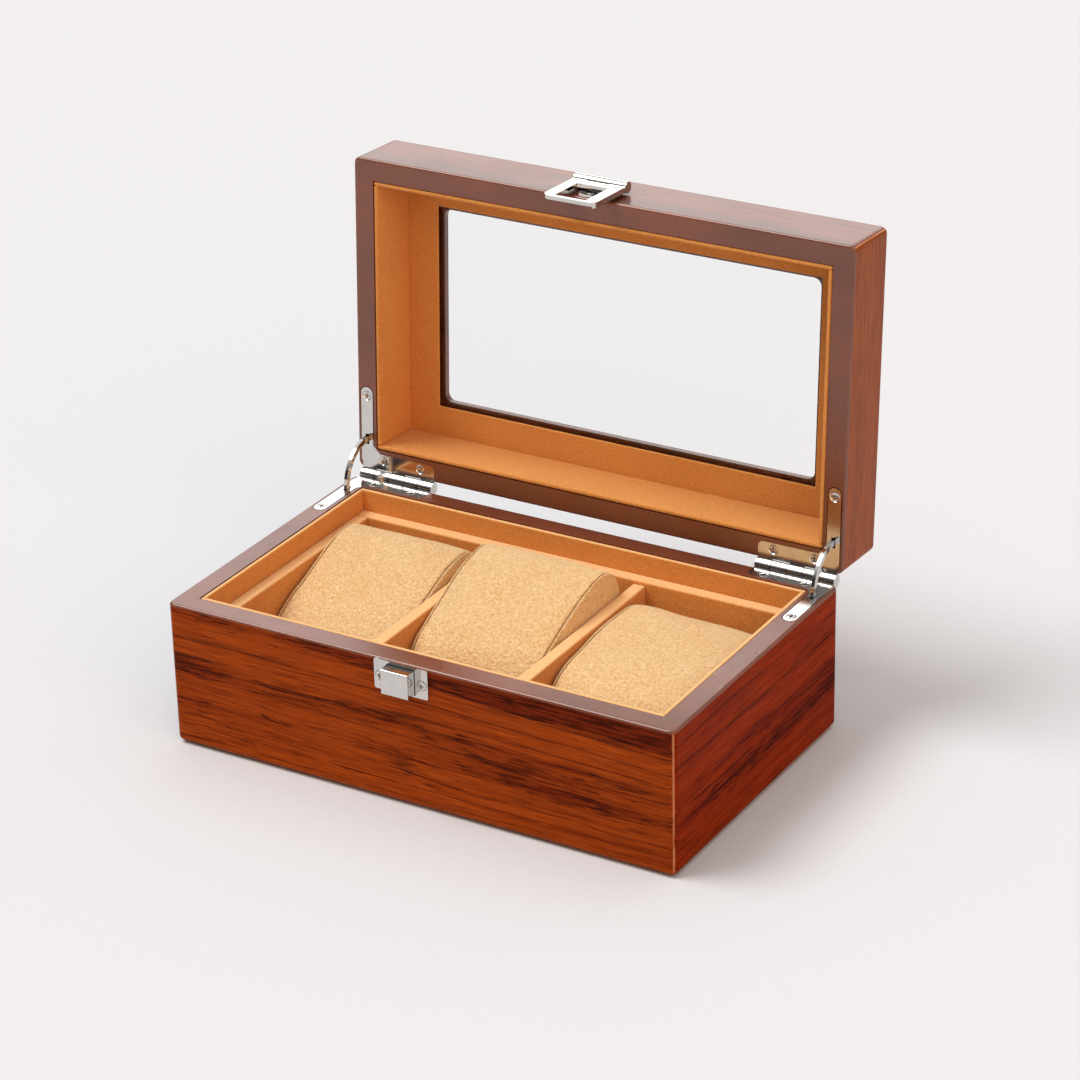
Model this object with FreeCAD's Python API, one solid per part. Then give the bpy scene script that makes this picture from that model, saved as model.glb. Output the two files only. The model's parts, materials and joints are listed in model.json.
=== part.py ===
import FreeCAD, Part
import math
import os

from FreeCAD import Vector

# Watch box for three watches: a veneered wooden base and a glazed lid, both lined with
# velvet, with a pair of recessed stay hinges, a push-button catch and three loose cushions.
# Millimetres. +X is right, +Y is back, +Z is up, and the origin is the centre of the underside.
# Everything on the lid is modelled with the lid shut, then turned open about the hinge axis.

# ---- box
WIDTH = 200.0
DEPTH = 120.0
BASE_HEIGHT = 55.0
LID_HEIGHT = 26.6
RIM_GAP = 0.4
WALL = 8.0
CORNER_R = 2.5
RIM_R = 0.9
OPEN_ANGLE = 93.0

# ---- linings
FELT = 0.8
BOTTOM_BOARD = 4.0
FLOOR_LINER = 1.2
LINER = 1.5
LINER_GAP = 0.3
RAIL = 5.0
RAIL_TOP = 47.0
DIVIDER_TOP = 45.8
DIVIDER_X = 29.2

# ---- lid window
TOP_PANEL = 4.0
GLASS = 1.6
INNER_FRAME = 1.2
WINDOW_X = 76.5
WINDOW_Y = 37.5
WINDOW_R = 3.0
GLASS_LAP = 4.0
GLASS_PLAY = 0.3
INNER_FRAME_STEP = 1.5

# ---- hinges and stays
PLATE = 1.2
AXIS_BEHIND = 2.5
BARREL_R = 2.4
PIN_R = 1.0
RUNNING = 0.05
LEG_X = 96.0
LEG_HALF = 2.5
LEG_FRONT = 28.0
LEAF_LEFT = 67.0
LEAF_RIGHT = 98.0
LEAF_FRONT = 53.7
LEAF_CORNER_R = 2.0
LEG_PLAY = 0.35
KNUCKLES = 5
KNUCKLE_GAP = 0.45
STAY_R = 14.2
STAY_HALF = 1.1
STAY_THICK = 1.2
STAY_HEAD_WIDE = 2.6
STAY_HEAD_FROM = 6.5
STAY_HEAD_TO = 10.0
STAY_PLAY = 0.2
POCKET_DEPTH = 15.4

# ---- catch, left of the middle of the front
LATCH_X = -3.7
CATCH_HALF = 10.6
CATCH_LOW = 43.6
CATCH_HIGH = 54.8
CATCH_PLATE = 0.8
BUTTON_HALF = 5.4
BUTTON_LOW = 44.4
BUTTON_HIGH = 53.6
BUTTON_OUT = 5.2
BUTTON_IN = 2.4
BUTTON_PLAY = 0.2
CATCH_TRAVEL = 3.4
CATCH_SCREW_X = 8.3
SPRING_R = 1.7
SPRING_WIRE = 0.25
SPRING_TURNS = 6

HASP_HALF = 10.5
HASP_LOW = 42.4
HASP_WINDOW_HALF = 6.2
HASP_WINDOW_LOW = 44.2
HASP_WINDOW_HIGH = 60.0
HASP_FACE = 1.4
HASP_OFF = 1.9
HASP_FLANGE_OFF = 1.2
HASP_BARREL_R = 2.2
HASP_AXIS_Z = 66.5
HASP_PIN_R = 0.8
HASP_PLATE = 0.9
HASP_PLATE_HALF = 4.6
HASP_PLATE_LOW = 56.4

# ---- screws: countersunk, cross recessed
SCREW_HEAD_R = 1.9
SCREW_SHANK_R = 0.9
SCREW_LENGTH = 6.0
SCREW_DOME = 0.3

# ---- cushions: tilted, squarish ovals in side view, thick end at the back
CUSHION_WIDE = 52.6
CUSHION_COVER = 1.2
CUSHIONS = {
    "left": {"x": -58.5, "y": 8.9, "long": 34.0, "thick": 18.0, "tilt": 21.5},
    "centre": {"x": 0.0, "y": 8.5, "long": 34.5, "thick": 21.3, "tilt": 22.5},
    "right": {"x": 58.5, "y": 7.0, "long": 36.6, "thick": 19.4, "tilt": 4.0},
}
CUSHION_SQUARENESS = 2.8
CUSHION_REST = 0.2

# ---- places worked out from the above
HALF_W = WIDTH / 2
HALF_D = DEPTH / 2
LID_LOW = BASE_HEIGHT + RIM_GAP
LID_TOP = LID_LOW + LID_HEIGHT
INNER_X = HALF_W - WALL
INNER_Y = HALF_D - WALL
LINED_X = INNER_X - LINER_GAP - LINER
LINED_Y = INNER_Y - LINER_GAP - LINER
BOARD_TOP = FELT + BOTTOM_BOARD
FLOOR_TOP = BOARD_TOP + FLOOR_LINER
GLASS_LOW = LID_TOP - TOP_PANEL
FRAME_LOW = GLASS_LOW - INNER_FRAME
AXIS_Y = HALF_D + AXIS_BEHIND
AXIS_Z = BASE_HEIGHT + RIM_GAP / 2
HASP_AXIS_Y = -HALF_D - HASP_OFF - HASP_FACE / 2

# ---- basic shapes


def block(x0, x1, y0, y1, z0, z1):
    return Part.makeBox(x1 - x0, y1 - y0, z1 - z0, Vector(x0, y0, z0))


def rod_x(x0, x1, y, z, radius):
    return Part.makeCylinder(radius, x1 - x0, Vector(x0, y, z), Vector(1, 0, 0))


def prism(points, z0, z1):
    """Upright prism on an outline of (x, y) points."""
    wire = Part.makePolygon([Vector(x, y, z0) for x, y in points + points[:1]])
    return Part.Face(wire).extrude(Vector(0, 0, z1 - z0))


def joined(first, *others):
    return first.fuse(list(others)).removeSplitter()


def less(shape, *tools):
    return shape.cut(list(tools)).removeSplitter()


def mirrored(shape):
    return shape.mirror(Vector(0, 0, 0), Vector(1, 0, 0))


def rounded(shape, radius, wanted):
    """Fillets the edges for which wanted(low corner, high corner) is true."""
    edges = []
    for edge in shape.Edges:
        box = edge.BoundBox
        low = Vector(box.XMin, box.YMin, box.ZMin)
        high = Vector(box.XMax, box.YMax, box.ZMax)
        if wanted(low, high):
            edges.append(edge)
    return shape.makeFillet(radius, edges)


def upright(low, high):
    return high.z - low.z > 0.5 and high.x - low.x < 0.01 and high.y - low.y < 0.01


def level(height):
    return lambda low, high: abs(low.z - height) < 0.01 and abs(high.z - height) < 0.01


def crosswise(low, high):
    """Edges that run front to back."""
    return high.y - low.y > 0.5 and high.x - low.x < 0.01 and high.z - low.z < 0.01


# ---- wooden shells


def mitred_ring(z0, z1, low_r, high_r):
    """Four walls in one piece, rounded outside, before the mitres are cut."""
    shell = block(-HALF_W, HALF_W, -HALF_D, HALF_D, z0, z1)
    shell = rounded(shell, CORNER_R, upright)
    shell = rounded(shell, low_r, level(z0))
    shell = rounded(shell, high_r, level(z1))
    return less(shell, block(-INNER_X, INNER_X, -INNER_Y, INNER_Y, z0 - 1, z1 + 1))


def mitred_boards(ring, names):
    """The ring cut along its 45 degree mitres into front, back, left and right boards."""
    out = 5.0
    x_out = HALF_W + out
    y_out = HALF_D + out
    low = ring.BoundBox.ZMin - 1
    high = ring.BoundBox.ZMax + 1
    front = [(-x_out, -y_out), (x_out, -y_out), (INNER_X, -INNER_Y), (-INNER_X, -INNER_Y)]
    right = [(x_out, -y_out), (x_out, y_out), (INNER_X, INNER_Y), (INNER_X, -INNER_Y)]
    back = [(-x, -y) for x, y in front]
    left = [(-x, -y) for x, y in right]
    outlines = [front, back, left, right]
    return {name: ring.common(prism(outline, low, high)) for name, outline in zip(names, outlines)}


def liner_boards(prefix, z0, z1):
    """Four thin lining boards; the front and back ones cover the ends of the side ones."""
    long_x = LINED_X + LINER
    back = block(-long_x, long_x, LINED_Y, LINED_Y + LINER, z0, z1)
    right = block(LINED_X, long_x, -LINED_Y, LINED_Y, z0, z1)
    return {
        prefix + "_front": back.mirror(Vector(0, 0, 0), Vector(0, 1, 0)),
        prefix + "_back": back,
        prefix + "_left": mirrored(right),
        prefix + "_right": right,
    }


# ---- screws


def screw_body():
    """Countersunk screw pointing down, with the top of its head at the origin."""
    head_h = SCREW_HEAD_R - SCREW_SHANK_R
    head = Part.makeCone(SCREW_SHANK_R, SCREW_HEAD_R, head_h, Vector(0, 0, -head_h))
    shank = Part.makeCylinder(SCREW_SHANK_R, SCREW_LENGTH - head_h, Vector(0, 0, -SCREW_LENGTH))
    return joined(head, shank)


def cross_recess(top):
    """The four-armed driver recess, down from the given height."""
    half_long = 1.1
    half_wide = 0.28
    deep = 0.7
    along = block(-half_long, half_long, -half_wide, half_wide, top - deep, top + 1)
    across = block(-half_wide, half_wide, -half_long, half_long, top - deep, top + 1)
    return joined(along, across)


def flat_screw():
    return less(screw_body(), cross_recess(0.0))


def domed_screw():
    sphere_r = (SCREW_HEAD_R**2 + SCREW_DOME**2) / (2 * SCREW_DOME)
    ball = Part.makeSphere(sphere_r, Vector(0, 0, SCREW_DOME - sphere_r))
    cap = ball.common(block(-3, 3, -3, 3, 0, 1))
    return less(joined(screw_body(), cap), cross_recess(SCREW_DOME))


def placed(shape, spot, turn_x=0.0):
    """A copy turned about X, then moved to the spot."""
    copy = shape.copy()
    copy.rotate(Vector(0, 0, 0), Vector(1, 0, 0), turn_x)
    copy.translate(Vector(*spot))
    return copy


def screws_at(spots, turn_x, domed=False):
    """The screws for the spots as one group, and the holes that they fill."""
    kind = domed_screw() if domed else flat_screw()
    screws = [placed(kind, spot, turn_x) for spot in spots]
    holes = [placed(screw_body(), spot, turn_x) for spot in spots]
    return Part.makeCompound(screws), holes


# ---- hinges


def corner_points(x, y, radius):
    """A rounded lower left corner, as points from its left side to its lower side."""
    points = []
    for step in range(7):
        turn = math.radians(180 + 15 * step)
        points.append(
            (x + radius + radius * math.cos(turn), y + radius + radius * math.sin(turn))
        )
    return points


def leaf(z0):
    """The right-hand hinge leaf without knuckles: an L with a rounded front end."""
    z1 = z0 + PLATE
    chamfer = 3.0
    back = HALF_D - 0.3
    outer = LEG_X + LEG_HALF
    inner = LEG_X - LEG_HALF
    end_y = LEG_FRONT + LEG_HALF
    outline = [
        (inner, end_y),
        (outer, end_y),
        (outer, HALF_D - 3.0),
        (LEAF_RIGHT, HALF_D - 2.4),
        (LEAF_RIGHT, back),
        (LEAF_LEFT, back),
        *corner_points(LEAF_LEFT, LEAF_FRONT, LEAF_CORNER_R),
        (inner - chamfer, LEAF_FRONT),
        (inner, LEAF_FRONT - chamfer),
    ]
    end = Part.makeCylinder(LEG_HALF, PLATE, Vector(LEG_X, end_y, z0))
    return joined(prism(outline, z0, z1), end)


def leaf_recess(z0):
    """What is let into the rim for a leaf: the leaf, open to the back, with play at the leg."""
    behind = block(LEAF_LEFT, LEAF_RIGHT, HALF_D - 1, HALF_D + 1, z0, z0 + PLATE)
    half = LEG_HALF + LEG_PLAY
    end_y = LEG_FRONT + LEG_HALF
    round_leg = block(LEG_X - half, LEG_X + half, end_y, LEAF_FRONT - 3, z0, z0 + PLATE)
    round_end = Part.makeCylinder(half, PLATE, Vector(LEG_X, end_y, z0))
    return joined(leaf(z0), behind, round_leg, round_end)


def knuckle_spans(wanted):
    """X ranges of the wanted knuckles, counted from the inner end of the barrel."""
    long = (LEAF_RIGHT - LEAF_LEFT - KNUCKLE_GAP * (KNUCKLES - 1)) / KNUCKLES
    starts = [LEAF_LEFT + index * (long + KNUCKLE_GAP) for index in wanted]
    return [(start, start + long) for start in starts]


def hinge_plate(z0, wanted, bore_r):
    """Leaf with its own knuckles rolled round the pin and the slot for the stay."""
    plate = leaf(z0)
    for x0, x1 in knuckle_spans(wanted):
        tab = block(x0, x1, HALF_D - 0.4, AXIS_Y - PIN_R, z0, z0 + PLATE)
        plate = joined(plate, tab, rod_x(x0, x1, AXIS_Y, AXIS_Z, BARREL_R))
    bore = rod_x(LEAF_LEFT - 1, LEAF_RIGHT + 1, AXIS_Y, AXIS_Z, bore_r)
    stay_y = AXIS_Y - STAY_R
    slot_x = STAY_THICK / 2 + STAY_PLAY
    slot = block(LEG_X - slot_x, LEG_X + slot_x, stay_y - 1.8, stay_y + 2.2, z0 - 1, z0 + PLATE + 1)
    return less(plate, bore, slot)


def stay_pocket(z0, z1):
    """The mortice in the right-hand wall that the stay sinks into."""
    half = STAY_HEAD_WIDE / 2 + 0.3
    return block(LEG_X - half, LEG_X + half, 46.4, 56.0, z0, z1)


def arc_band(from_angle, to_angle, half_x):
    """Part of a ring about the hinge axis; angles run from +Y towards +Z."""
    outer = rod_x(LEG_X - half_x, LEG_X + half_x, 0, 0, STAY_R + STAY_HALF)
    inner = rod_x(LEG_X - half_x - 1, LEG_X + half_x + 1, 0, 0, STAY_R - STAY_HALF)
    reach = 3 * STAY_R
    corners = []
    for step in range(5):
        angle = math.radians(from_angle + (to_angle - from_angle) * step / 4)
        corners.append(Vector(LEG_X - 5, reach * math.cos(angle), reach * math.sin(angle)))
    centre = Vector(LEG_X - 5, 0, 0)
    wire = Part.makePolygon([centre] + corners + [centre])
    sector = Part.Face(wire).extrude(Vector(10, 0, 0))
    band = less(outer, inner).common(sector)
    band.translate(Vector(0, AXIS_Y, AXIS_Z))
    return band


def stay_arm():
    """Flat curved arm with a wider head at each end, shown with the lid open."""
    base_end = 180.0
    lid_end = 180.0 - OPEN_ANGLE
    arm = arc_band(lid_end - STAY_HEAD_TO, base_end + STAY_HEAD_TO, STAY_THICK / 2)
    half_head = STAY_HEAD_WIDE / 2
    base_head = arc_band(base_end + STAY_HEAD_FROM, base_end + STAY_HEAD_TO, half_head)
    lid_head = arc_band(lid_end - STAY_HEAD_TO, lid_end - STAY_HEAD_FROM, half_head)
    return joined(arm, base_head, lid_head)


HINGE_SCREW_SPOTS = [(LEG_X, 31.4), (73.0, 56.0), (89.0, 56.0)]


def both_sides(spots):
    return spots + [(-x, y, z) for x, y, z in spots]


# ---- catch on the base


def catch_plate():
    """Face plate with a square hole for the button."""
    back = -HALF_D
    front = back - CATCH_PLATE
    plate = block(-CATCH_HALF, CATCH_HALF, front, back, CATCH_LOW, CATCH_HIGH)
    plate = rounded(plate, 0.8, crosswise)
    hole_x = BUTTON_HALF + BUTTON_PLAY
    hole_low = BUTTON_LOW - BUTTON_PLAY
    hole_high = BUTTON_HIGH + BUTTON_PLAY
    return less(plate, block(-hole_x, hole_x, front - 1, back + 1, hole_low, hole_high))


def catch_pocket():
    """The hole in the front wall behind the face plate."""
    half = BUTTON_HALF + 0.9 + BUTTON_PLAY
    deep = -HALF_D + BUTTON_IN + CATCH_TRAVEL + BUTTON_PLAY
    low = BUTTON_LOW - BUTTON_PLAY
    return block(-half, half, -HALF_D - 1, deep, low, BUTTON_HIGH + BUTTON_PLAY)


def catch_button():
    """Square push button with a lip each side, bored from behind for its spring."""
    front = -HALF_D - BUTTON_OUT
    back = -HALF_D + BUTTON_IN
    body = block(-BUTTON_HALF, BUTTON_HALF, front, back, BUTTON_LOW, BUTTON_HIGH)
    body = rounded(body, 0.35, lambda low, high: high.y < front + 0.01)
    lip_x = BUTTON_HALF + 0.9
    lip = block(-lip_x, lip_x, -HALF_D + 0.1, -HALF_D + 1.0, BUTTON_LOW, BUTTON_HIGH)
    middle = (BUTTON_LOW + BUTTON_HIGH) / 2
    bore_r = SPRING_R + SPRING_WIRE + 0.25
    bore = Part.makeCylinder(bore_r, 4.6, Vector(0, back - 4.5, middle), Vector(0, 1, 0))
    return less(joined(body, lip), bore)


def catch_spring():
    """Coil spring from the bottom of the button's bore to the bottom of the pocket."""
    start = -HALF_D + BUTTON_IN - 4.5 + SPRING_WIRE + 0.1
    end = -HALF_D + BUTTON_IN + CATCH_TRAVEL + BUTTON_PLAY - SPRING_WIRE - 0.1
    long = end - start
    helix = Part.makeHelix(long / SPRING_TURNS, long, SPRING_R)
    ring = Part.Wire(Part.makeCircle(SPRING_WIRE, Vector(SPRING_R, 0, 0), Vector(0, 1, 0)))
    coil = Part.Wire(helix).makePipeShell([ring], True, True)
    coil.rotate(Vector(0, 0, 0), Vector(1, 0, 0), -90)
    coil.translate(Vector(0, start, (BUTTON_LOW + BUTTON_HIGH) / 2))
    return coil


# ---- hasp on the lid


def hasp_plate():
    """Small plate screwed to the lid, its top rolled round the hasp pin."""
    back = -HALF_D
    front = back - HASP_PLATE
    plate = block(-HASP_PLATE_HALF, HASP_PLATE_HALF, front, back, HASP_PLATE_LOW, HASP_AXIS_Z)
    low_edges = lambda low, high: crosswise(low, high) and low.z < HASP_PLATE_LOW + 0.1
    plate = rounded(plate, 1.5, low_edges)
    barrel = rod_x(-HASP_PLATE_HALF, HASP_PLATE_HALF, HASP_AXIS_Y, HASP_AXIS_Z, HASP_BARREL_R)
    neck = block(
        -HASP_PLATE_HALF, HASP_PLATE_HALF, HASP_AXIS_Y, back, HASP_AXIS_Z - 1.2, HASP_AXIS_Z + 0.8
    )
    bore = rod_x(-HASP_HALF, HASP_HALF, HASP_AXIS_Y, HASP_AXIS_Z, HASP_PIN_R)
    return less(joined(plate, barrel, neck), bore)


def hasp_loop():
    """Pressed loop that hangs from the pin and drops over the button."""
    back = -HALF_D - HASP_OFF
    front = back - HASP_FACE
    face = block(-HASP_HALF, HASP_HALF, front, back, HASP_LOW, HASP_AXIS_Z)
    flange_back = -HALF_D - HASP_FLANGE_OFF
    flange_in = HASP_HALF - 1.2
    flange_high = HASP_AXIS_Z - HASP_BARREL_R
    flanges = []
    for side in (-1, 1):
        x0, x1 = sorted((side * flange_in, side * HASP_HALF))
        flanges.append(block(x0, x1, front, flange_back, HASP_LOW, flange_high))
    loop = joined(face, *flanges)
    low_corners = lambda low, high: crosswise(low, high) and high.z < HASP_LOW + 0.01
    loop = rounded(loop, 3.0, lambda low, high: low_corners(low, high) and abs(low.x) > 10.4)
    window = block(
        -HASP_WINDOW_HALF, HASP_WINDOW_HALF, front - 1, flange_back + 1, HASP_WINDOW_LOW, HASP_WINDOW_HIGH
    )
    window = rounded(window, 0.8, crosswise)
    plate_gap = HASP_PLATE_HALF + 0.1
    gap_low = HASP_AXIS_Z - HASP_BARREL_R - 0.4
    middle = block(-plate_gap, plate_gap, front - 1, -HALF_D, gap_low, HASP_AXIS_Z + 3)
    barrels = [
        rod_x(plate_gap, HASP_HALF, HASP_AXIS_Y, HASP_AXIS_Z, HASP_BARREL_R),
        rod_x(-HASP_HALF, -plate_gap, HASP_AXIS_Y, HASP_AXIS_Z, HASP_BARREL_R),
    ]
    bore = rod_x(-20, 20, HASP_AXIS_Y, HASP_AXIS_Z, HASP_PIN_R + RUNNING)
    return less(joined(less(loop, window, middle), *barrels), bore)


# ---- cushions


def oval_points(size, inset, count):
    """Points round the tilted, squarish oval, in the YZ plane about its middle."""
    power = 2 / CUSHION_SQUARENESS
    slope = math.radians(size["tilt"])
    points = []
    for step in range(count):
        turn = 2 * math.pi * (step + 0.5) / count
        c = math.cos(turn)
        s = math.sin(turn)
        u = (size["long"] - inset) * math.copysign(abs(c) ** power, c)
        v = (size["thick"] - inset) * math.copysign(abs(s) ** power, s)
        y = u * math.cos(slope) - v * math.sin(slope)
        z = u * math.sin(slope) + v * math.cos(slope)
        points.append(Vector(0, y, z))
    return points


def oval(size, inset):
    """Tilted oval, drawn out across the width, lying on the floor of the tray."""
    half = CUSHION_WIDE / 2 - inset
    curve = Part.BSplineCurve()
    curve.interpolate(oval_points(size, inset, 36), PeriodicFlag=True)
    solid = Part.Face(Part.Wire(curve.toShape())).extrude(Vector(2 * half, 0, 0))
    rise = -min(point.z for point in oval_points(size, 0.0, 720))
    solid.translate(Vector(size["x"] - half, size["y"], FLOOR_TOP + CUSHION_REST + rise))
    return solid


# ---- the whole box


def base_parts():
    ring = mitred_ring(FELT, BASE_HEIGHT, 2.0, RIM_R)
    base_z = BASE_HEIGHT - PLATE
    plate = hinge_plate(base_z, (1, 3), PIN_R)
    spots = both_sides([(x, y, BASE_HEIGHT) for x, y in HINGE_SCREW_SPOTS])
    hinge_screws, hinge_holes = screws_at(spots, 0)
    catch_spots = [
        (LATCH_X + side * CATCH_SCREW_X, -HALF_D - CATCH_PLATE, 48.7) for side in (-1, 1)
    ]
    catch_screws, catch_holes = screws_at(catch_spots, 90, domed=True)
    recess = leaf_recess(base_z)
    pocket = stay_pocket(BASE_HEIGHT - POCKET_DEPTH, base_z)
    latch = Vector(LATCH_X, 0, 0)
    catch_hole = catch_pocket().translated(latch)
    cutters = [recess, mirrored(recess), pocket, mirrored(pocket), catch_hole]
    ring = less(ring, *cutters, *hinge_holes, *catch_holes)

    names = ["base_front_wall", "base_back_wall", "base_left_wall", "base_right_wall"]
    parts = mitred_boards(ring, names)
    inset = 3.0
    parts["underside_felt"] = block(
        -HALF_W + inset, HALF_W - inset, -HALF_D + inset, HALF_D - inset, 0, FELT
    )
    parts["bottom_board"] = block(-INNER_X, INNER_X, -INNER_Y, INNER_Y, FELT, BOARD_TOP)
    parts["floor_liner"] = block(-LINED_X, LINED_X, -LINED_Y, LINED_Y, BOARD_TOP, FLOOR_TOP)
    parts.update(liner_boards("liner", BOARD_TOP, BASE_HEIGHT))
    rail_y = LINED_Y - RAIL
    rail_x = LINED_X - RAIL
    parts["rail_front"] = block(-LINED_X, LINED_X, -LINED_Y, -rail_y, FLOOR_TOP, RAIL_TOP)
    parts["rail_back"] = block(-LINED_X, LINED_X, rail_y, LINED_Y, FLOOR_TOP, RAIL_TOP)
    parts["rail_left"] = block(-LINED_X, -rail_x, -rail_y, rail_y, FLOOR_TOP, RAIL_TOP)
    parts["rail_right"] = block(rail_x, LINED_X, -rail_y, rail_y, FLOOR_TOP, RAIL_TOP)
    for side, x in (("left", -DIVIDER_X), ("right", DIVIDER_X)):
        parts["divider_" + side] = block(
            x - RAIL / 2, x + RAIL / 2, -rail_y, rail_y, FLOOR_TOP, DIVIDER_TOP
        )

    plates = {"right": plate, "left": mirrored(plate)}
    for side, one in plates.items():
        parts["hinge_base_plate_" + side] = less(one, *hinge_holes)
    pin = rod_x(LEAF_LEFT, LEAF_RIGHT, AXIS_Y, AXIS_Z, PIN_R)
    parts["hinge_pins"] = Part.makeCompound([pin, mirrored(pin)])
    parts["hinge_base_screws"] = hinge_screws
    parts["catch_plate"] = less(catch_plate().translated(latch), *catch_holes)
    parts["catch_screws"] = catch_screws
    parts["catch_button"] = catch_button().translated(latch)
    parts["catch_spring"] = catch_spring().translated(latch)
    return parts


def lid_parts():
    ring = mitred_ring(LID_LOW, LID_TOP, RIM_R, CORNER_R - 0.1)
    plate = hinge_plate(LID_LOW, (0, 2, 4), PIN_R + RUNNING)
    spots = both_sides([(x, y, LID_LOW) for x, y in HINGE_SCREW_SPOTS])
    hinge_screws, hinge_holes = screws_at(spots, 180)
    hasp_spots = [(LATCH_X, -HALF_D - HASP_PLATE, z) for z in (58.8, 62.9)]
    hasp_screws, hasp_holes = screws_at(hasp_spots, 90, domed=True)
    recess = leaf_recess(LID_LOW)
    pocket = stay_pocket(LID_LOW + PLATE, LID_LOW + POCKET_DEPTH)
    cutters = [recess, mirrored(recess), pocket, mirrored(pocket)]
    ring = less(ring, *cutters, *hinge_holes, *hasp_holes)

    names = ["lid_front_rail", "lid_back_rail", "lid_left_rail", "lid_right_rail"]
    parts = mitred_boards(ring, names)
    window = block(-WINDOW_X, WINDOW_X, -WINDOW_Y, WINDOW_Y, GLASS_LOW - 1, LID_TOP + 1)
    window = rounded(window, WINDOW_R, upright)
    pane_x = WINDOW_X + GLASS_LAP
    pane_y = WINDOW_Y + GLASS_LAP
    rebate_x = pane_x + GLASS_PLAY
    rebate_y = pane_y + GLASS_PLAY
    rebate = block(-rebate_x, rebate_x, -rebate_y, rebate_y, GLASS_LOW - 1, GLASS_LOW + GLASS)
    panel = block(-INNER_X, INNER_X, -INNER_Y, INNER_Y, GLASS_LOW, LID_TOP)
    parts["lid_top_frame"] = less(panel, window, rebate)
    parts["window_glass"] = block(-pane_x, pane_x, -pane_y, pane_y, GLASS_LOW, GLASS_LOW + GLASS)
    frame_x = INNER_X - LINER_GAP
    frame_y = INNER_Y - LINER_GAP
    frame = block(-frame_x, frame_x, -frame_y, frame_y, FRAME_LOW, GLASS_LOW)
    sight_x = WINDOW_X + INNER_FRAME_STEP
    sight_y = WINDOW_Y + INNER_FRAME_STEP
    sight = block(-sight_x, sight_x, -sight_y, sight_y, FRAME_LOW - 1, GLASS_LOW + 1)
    parts["lid_inner_frame"] = less(frame, sight)
    parts.update(liner_boards("lid_liner", LID_LOW, FRAME_LOW))

    plates = {"right": plate, "left": mirrored(plate)}
    for side, one in plates.items():
        parts["hinge_lid_plate_" + side] = less(one, *hinge_holes)
    parts["hinge_lid_screws"] = hinge_screws
    latch = Vector(LATCH_X, 0, 0)
    parts["hasp_plate"] = less(hasp_plate().translated(latch), *hasp_holes)
    parts["hasp_screws"] = hasp_screws
    hasp_pin = rod_x(-HASP_HALF, HASP_HALF, HASP_AXIS_Y, HASP_AXIS_Z, HASP_PIN_R)
    parts["hasp_pin"] = hasp_pin.translated(latch)
    parts["hasp_loop"] = hasp_loop().translated(latch)
    for shape in parts.values():
        shape.rotate(Vector(0, AXIS_Y, AXIS_Z), Vector(1, 0, 0), -OPEN_ANGLE)
    return parts


def loose_parts():
    arm = stay_arm()
    parts = {"stay_arm_right": arm, "stay_arm_left": mirrored(arm)}
    for name, size in CUSHIONS.items():
        core = oval(size, CUSHION_COVER)
        parts["cushion_" + name + "_cover"] = less(oval(size, 0.0), core)
        parts["cushion_" + name + "_core"] = core
    return parts


def main():
    os.makedirs("parts", exist_ok=True)
    parts = {}
    parts.update(base_parts())
    parts.update(lid_parts())
    parts.update(loose_parts())
    for name, shape in parts.items():
        solids = len(shape.Solids)
        print(f"{name:28s} solids {solids:2d} valid {shape.isValid()} volume {shape.Volume:10.2f}")
        shape.exportStep(os.path.join("parts", name + ".step"))


main()
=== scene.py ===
import json
import math

import bmesh
import bpy
from mathutils import Matrix, Vector, kdtree, noise


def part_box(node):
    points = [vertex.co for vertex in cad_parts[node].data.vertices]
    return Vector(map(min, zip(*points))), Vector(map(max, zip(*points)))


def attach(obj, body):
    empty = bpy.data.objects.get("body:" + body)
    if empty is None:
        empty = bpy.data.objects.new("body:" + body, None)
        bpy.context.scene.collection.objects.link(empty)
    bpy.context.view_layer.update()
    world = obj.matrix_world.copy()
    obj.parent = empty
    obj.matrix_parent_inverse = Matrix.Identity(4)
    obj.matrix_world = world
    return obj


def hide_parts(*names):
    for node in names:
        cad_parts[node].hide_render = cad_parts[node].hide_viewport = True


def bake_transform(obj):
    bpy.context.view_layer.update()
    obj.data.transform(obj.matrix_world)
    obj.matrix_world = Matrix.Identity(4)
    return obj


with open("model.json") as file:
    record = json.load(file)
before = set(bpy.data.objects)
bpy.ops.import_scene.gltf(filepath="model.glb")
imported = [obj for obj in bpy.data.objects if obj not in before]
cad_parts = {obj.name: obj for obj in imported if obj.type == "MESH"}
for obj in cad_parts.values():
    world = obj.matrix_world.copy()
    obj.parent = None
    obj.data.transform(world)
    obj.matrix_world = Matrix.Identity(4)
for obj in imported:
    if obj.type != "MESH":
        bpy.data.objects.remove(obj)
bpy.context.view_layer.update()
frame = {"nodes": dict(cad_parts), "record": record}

# ---- Wooden walls of the base and the lid ---------------------------------------------------
# Fibreboard covered with rosewood veneer and lacquered, glued up with mitred corners. The
# grain runs along every board. The rims, where base and lid meet, are painted a plain
# reddish brown under the same lacquer.

MM = 0.001
joints = {joint["name"]: joint for joint in frame["record"]["behaviour"]["joints"]}
hinge_spot = Vector(joints["lid_hinge"]["pos_m"])
open_angle = math.radians(joints["lid_hinge"]["range_deg"][1])
shut_lid = (
    Matrix.Translation(hinge_spot)
    @ Matrix.Rotation(open_angle, 4, "X")
    @ Matrix.Translation(-hinge_spot)
)
base_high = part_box("base_front_wall")[1][2]
half_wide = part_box("base_right_wall")[1][0]
half_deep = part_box("base_back_wall")[1][1]


def add(tree, kind, inputs=(), **settings):
    """A new shader or geometry node; inputs are (socket, value or output to link) pairs."""
    made = tree.nodes.new(kind)
    for name, value in settings.items():
        setattr(made, name, value)
    for socket, value in inputs:
        if isinstance(value, bpy.types.NodeSocket):
            tree.links.new(value, made.inputs[socket])
        else:
            made.inputs[socket].default_value = value
    return made


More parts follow.
